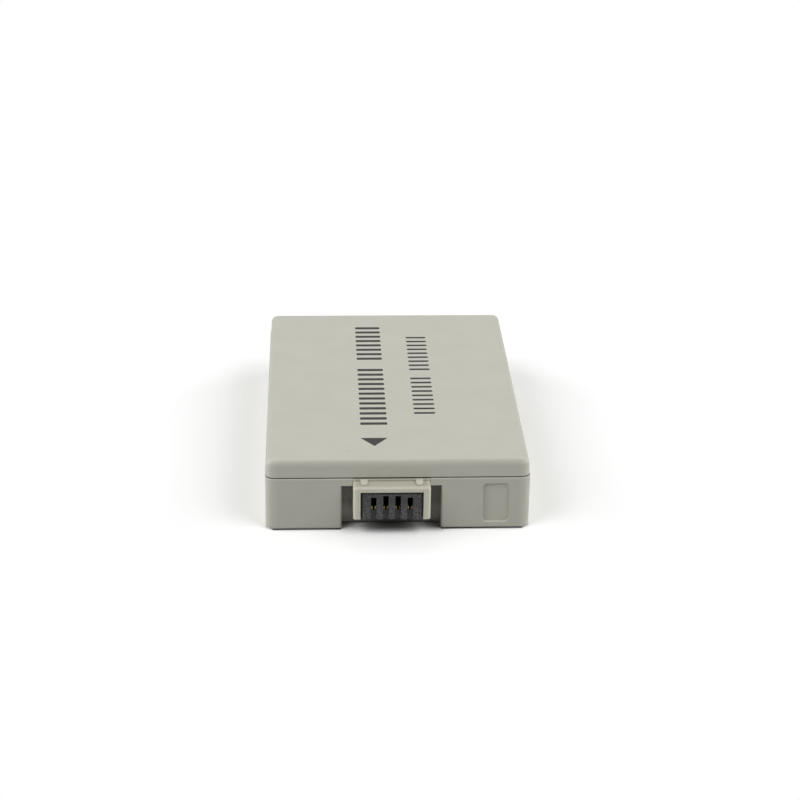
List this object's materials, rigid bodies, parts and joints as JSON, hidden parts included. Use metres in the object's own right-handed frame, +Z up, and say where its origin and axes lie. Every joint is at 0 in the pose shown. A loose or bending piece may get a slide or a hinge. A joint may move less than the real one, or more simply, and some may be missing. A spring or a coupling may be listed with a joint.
{
  "type": "camera battery",
  "caption": "Slim flat rechargeable camera battery: matt grey moulded tray and cover, with a slotted fork connector standing out of a notch in one end.",
  "frame": {"origin": "middle of the underside of the whole battery, connector included", "axes": "+Z up out of the cover, +Y along the battery from the connector to the tail, +X to the right when looking at the connector"},
  "size_m": [0.0362, 0.0532, 0.0103],
  "materials": {
    "case_plastic": "fine matt moulding grain",
    "frame_plastic": "satin",
    "block_plastic": "glass-filled, speckled",
    "contact_gold": "gold plated",
    "board_laminate": "green solder mask",
    "solder": "dull",
    "chip_moulding": "matt",
    "chip_ceramic": "matt",
    "can_aluminium": "drawn can",
    "gasket_plastic": "matt",
    "nickel": "rolled strip",
    "insulating_card": "pressed card",
    "film": "thin film",
    "foam": "closed-cell foam",
    "print_ink": "thin printed ink"
  },
  "bodies": {
    "root": {"bottom_case": "case_plastic", "top_cover": "case_plastic", "terminal_frame": "frame_plastic", "contact_block": "block_plastic", "positive_contact": "contact_gold", "temperature_contact": "contact_gold", "identity_contact": "contact_gold", "negative_contact": "contact_gold", "circuit_board": "board_laminate", "solder_joints": "solder", "protection_chip": "chip_moulding", "switch_transistors": "chip_moulding", "chip_fuse": "chip_ceramic", "thermistor": "chip_ceramic", "chip_resistors": "chip_ceramic", "chip_capacitors": "chip_ceramic", "lower_cell": "can_aluminium", "upper_cell": "can_aluminium", "lower_cell_gasket": "gasket_plastic", "upper_cell_gasket": "gasket_plastic", "lower_cell_terminal": "nickel", "upper_cell_terminal": "nickel", "series_link": "nickel", "positive_tab": "nickel", "negative_tab": "nickel", "end_insulator": "insulating_card", "cell_separator": "film", "floor_tape": "film", "tail_foam": "foam"}
  },
  "joints": []
}
